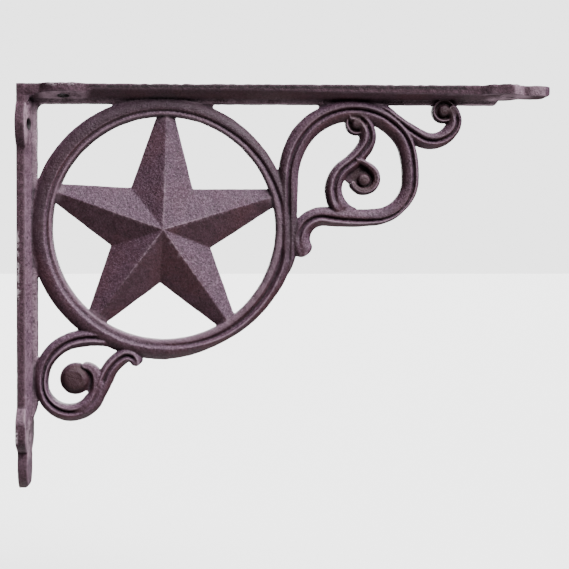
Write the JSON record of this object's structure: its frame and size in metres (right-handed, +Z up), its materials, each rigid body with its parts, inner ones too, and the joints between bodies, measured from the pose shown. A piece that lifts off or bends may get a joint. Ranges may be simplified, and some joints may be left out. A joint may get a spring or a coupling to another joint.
{
  "type": "shelf bracket",
  "caption": "Ornate cast iron shelf bracket: right-angled ribbed plates with screw ears, a ring around a five-pointed star, and curling scrolls.",
  "frame": {"origin": "on the wall plate's outer face, on its centre line, halfway between its two levels of screws", "axes": "+X out from the wall along the shelf plate, +Y across the plates towards the back of the ornament as pictured, +Z up"},
  "size_m": [0.242, 0.0264, 0.1826],
  "materials": {
    "cast_iron": "sand-cast skin, dark purple-brown, worn and speckled on the crests"
  },
  "bodies": {
    "root": {"bracket_casting": "cast_iron"}
  },
  "joints": []
}
